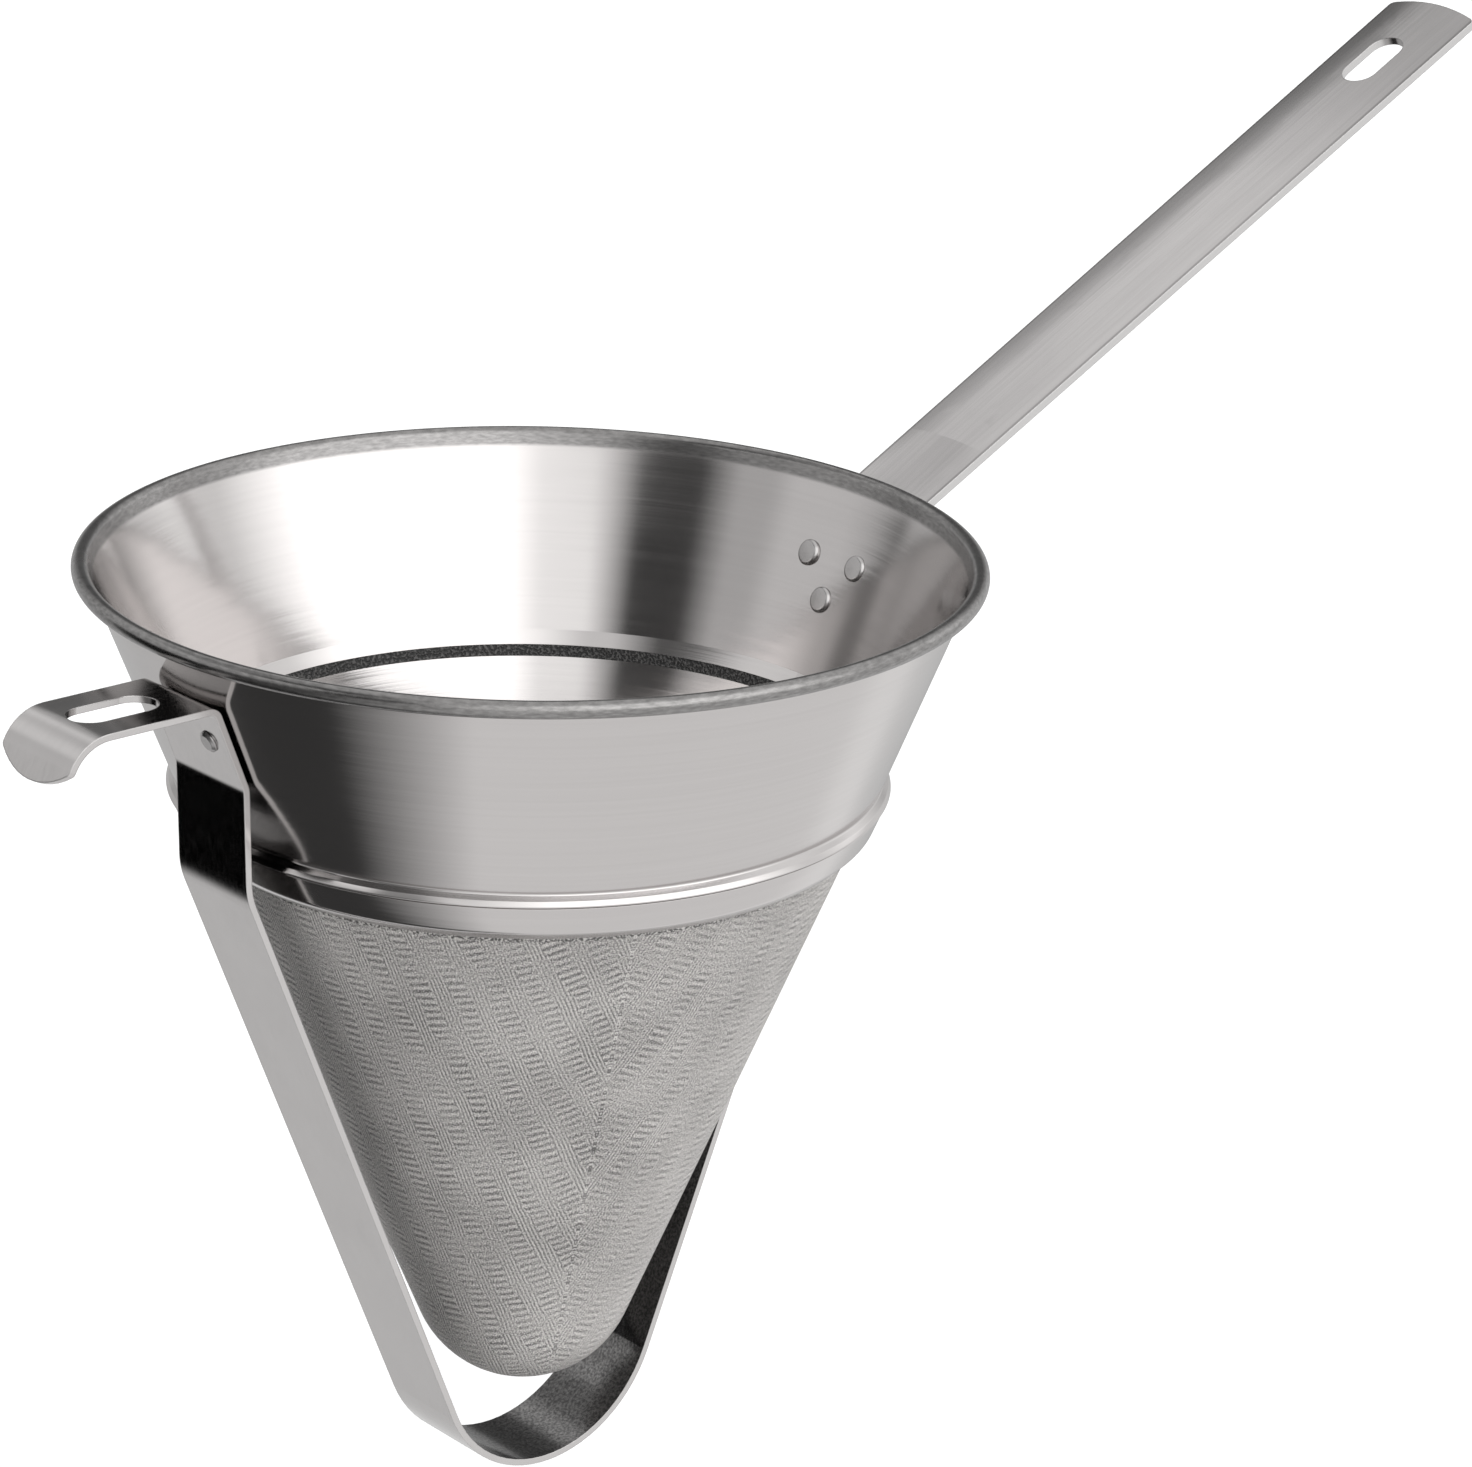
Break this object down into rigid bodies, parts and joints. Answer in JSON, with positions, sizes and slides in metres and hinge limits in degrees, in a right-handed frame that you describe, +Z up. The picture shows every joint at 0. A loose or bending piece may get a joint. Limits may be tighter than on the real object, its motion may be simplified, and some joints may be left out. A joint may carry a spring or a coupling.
{
  "type": "chinois strainer",
  "caption": "Fine-mesh conical strainer with a rolled-rim steel collar, wire cloth cone, guard strap with pot hook, and a long riveted handle.",
  "frame": {"origin": "centre of the rolled rim's circle, at mid height of the roll", "axes": "+Z up along the cone's axis, out of the bowl; +X toward the handle, with the pot hook at -X; the XZ plane is the part's mirror plane"},
  "size_m": [0.4188, 0.2, 0.3058],
  "materials": {
    "satin_steel": "spun satin outside and inside, polished roll",
    "strap_steel": "bright rolled strip",
    "handle_steel": "satin, brushed along its length",
    "wire_cloth": "fine twilled wire cloth, matte",
    "rivet_steel": "bright"
  },
  "bodies": {
    "root": {"collar": "satin_steel", "mesh_cone": "wire_cloth", "mesh_retaining_ring": "satin_steel", "seam_fillet": "satin_steel", "guard_strap": "strap_steel", "handle": "handle_steel", "handle_rivet_left": "rivet_steel", "handle_rivet_right": "rivet_steel", "handle_rivet_lower": "rivet_steel", "hook_rivet": "rivet_steel"}
  },
  "joints": []
}
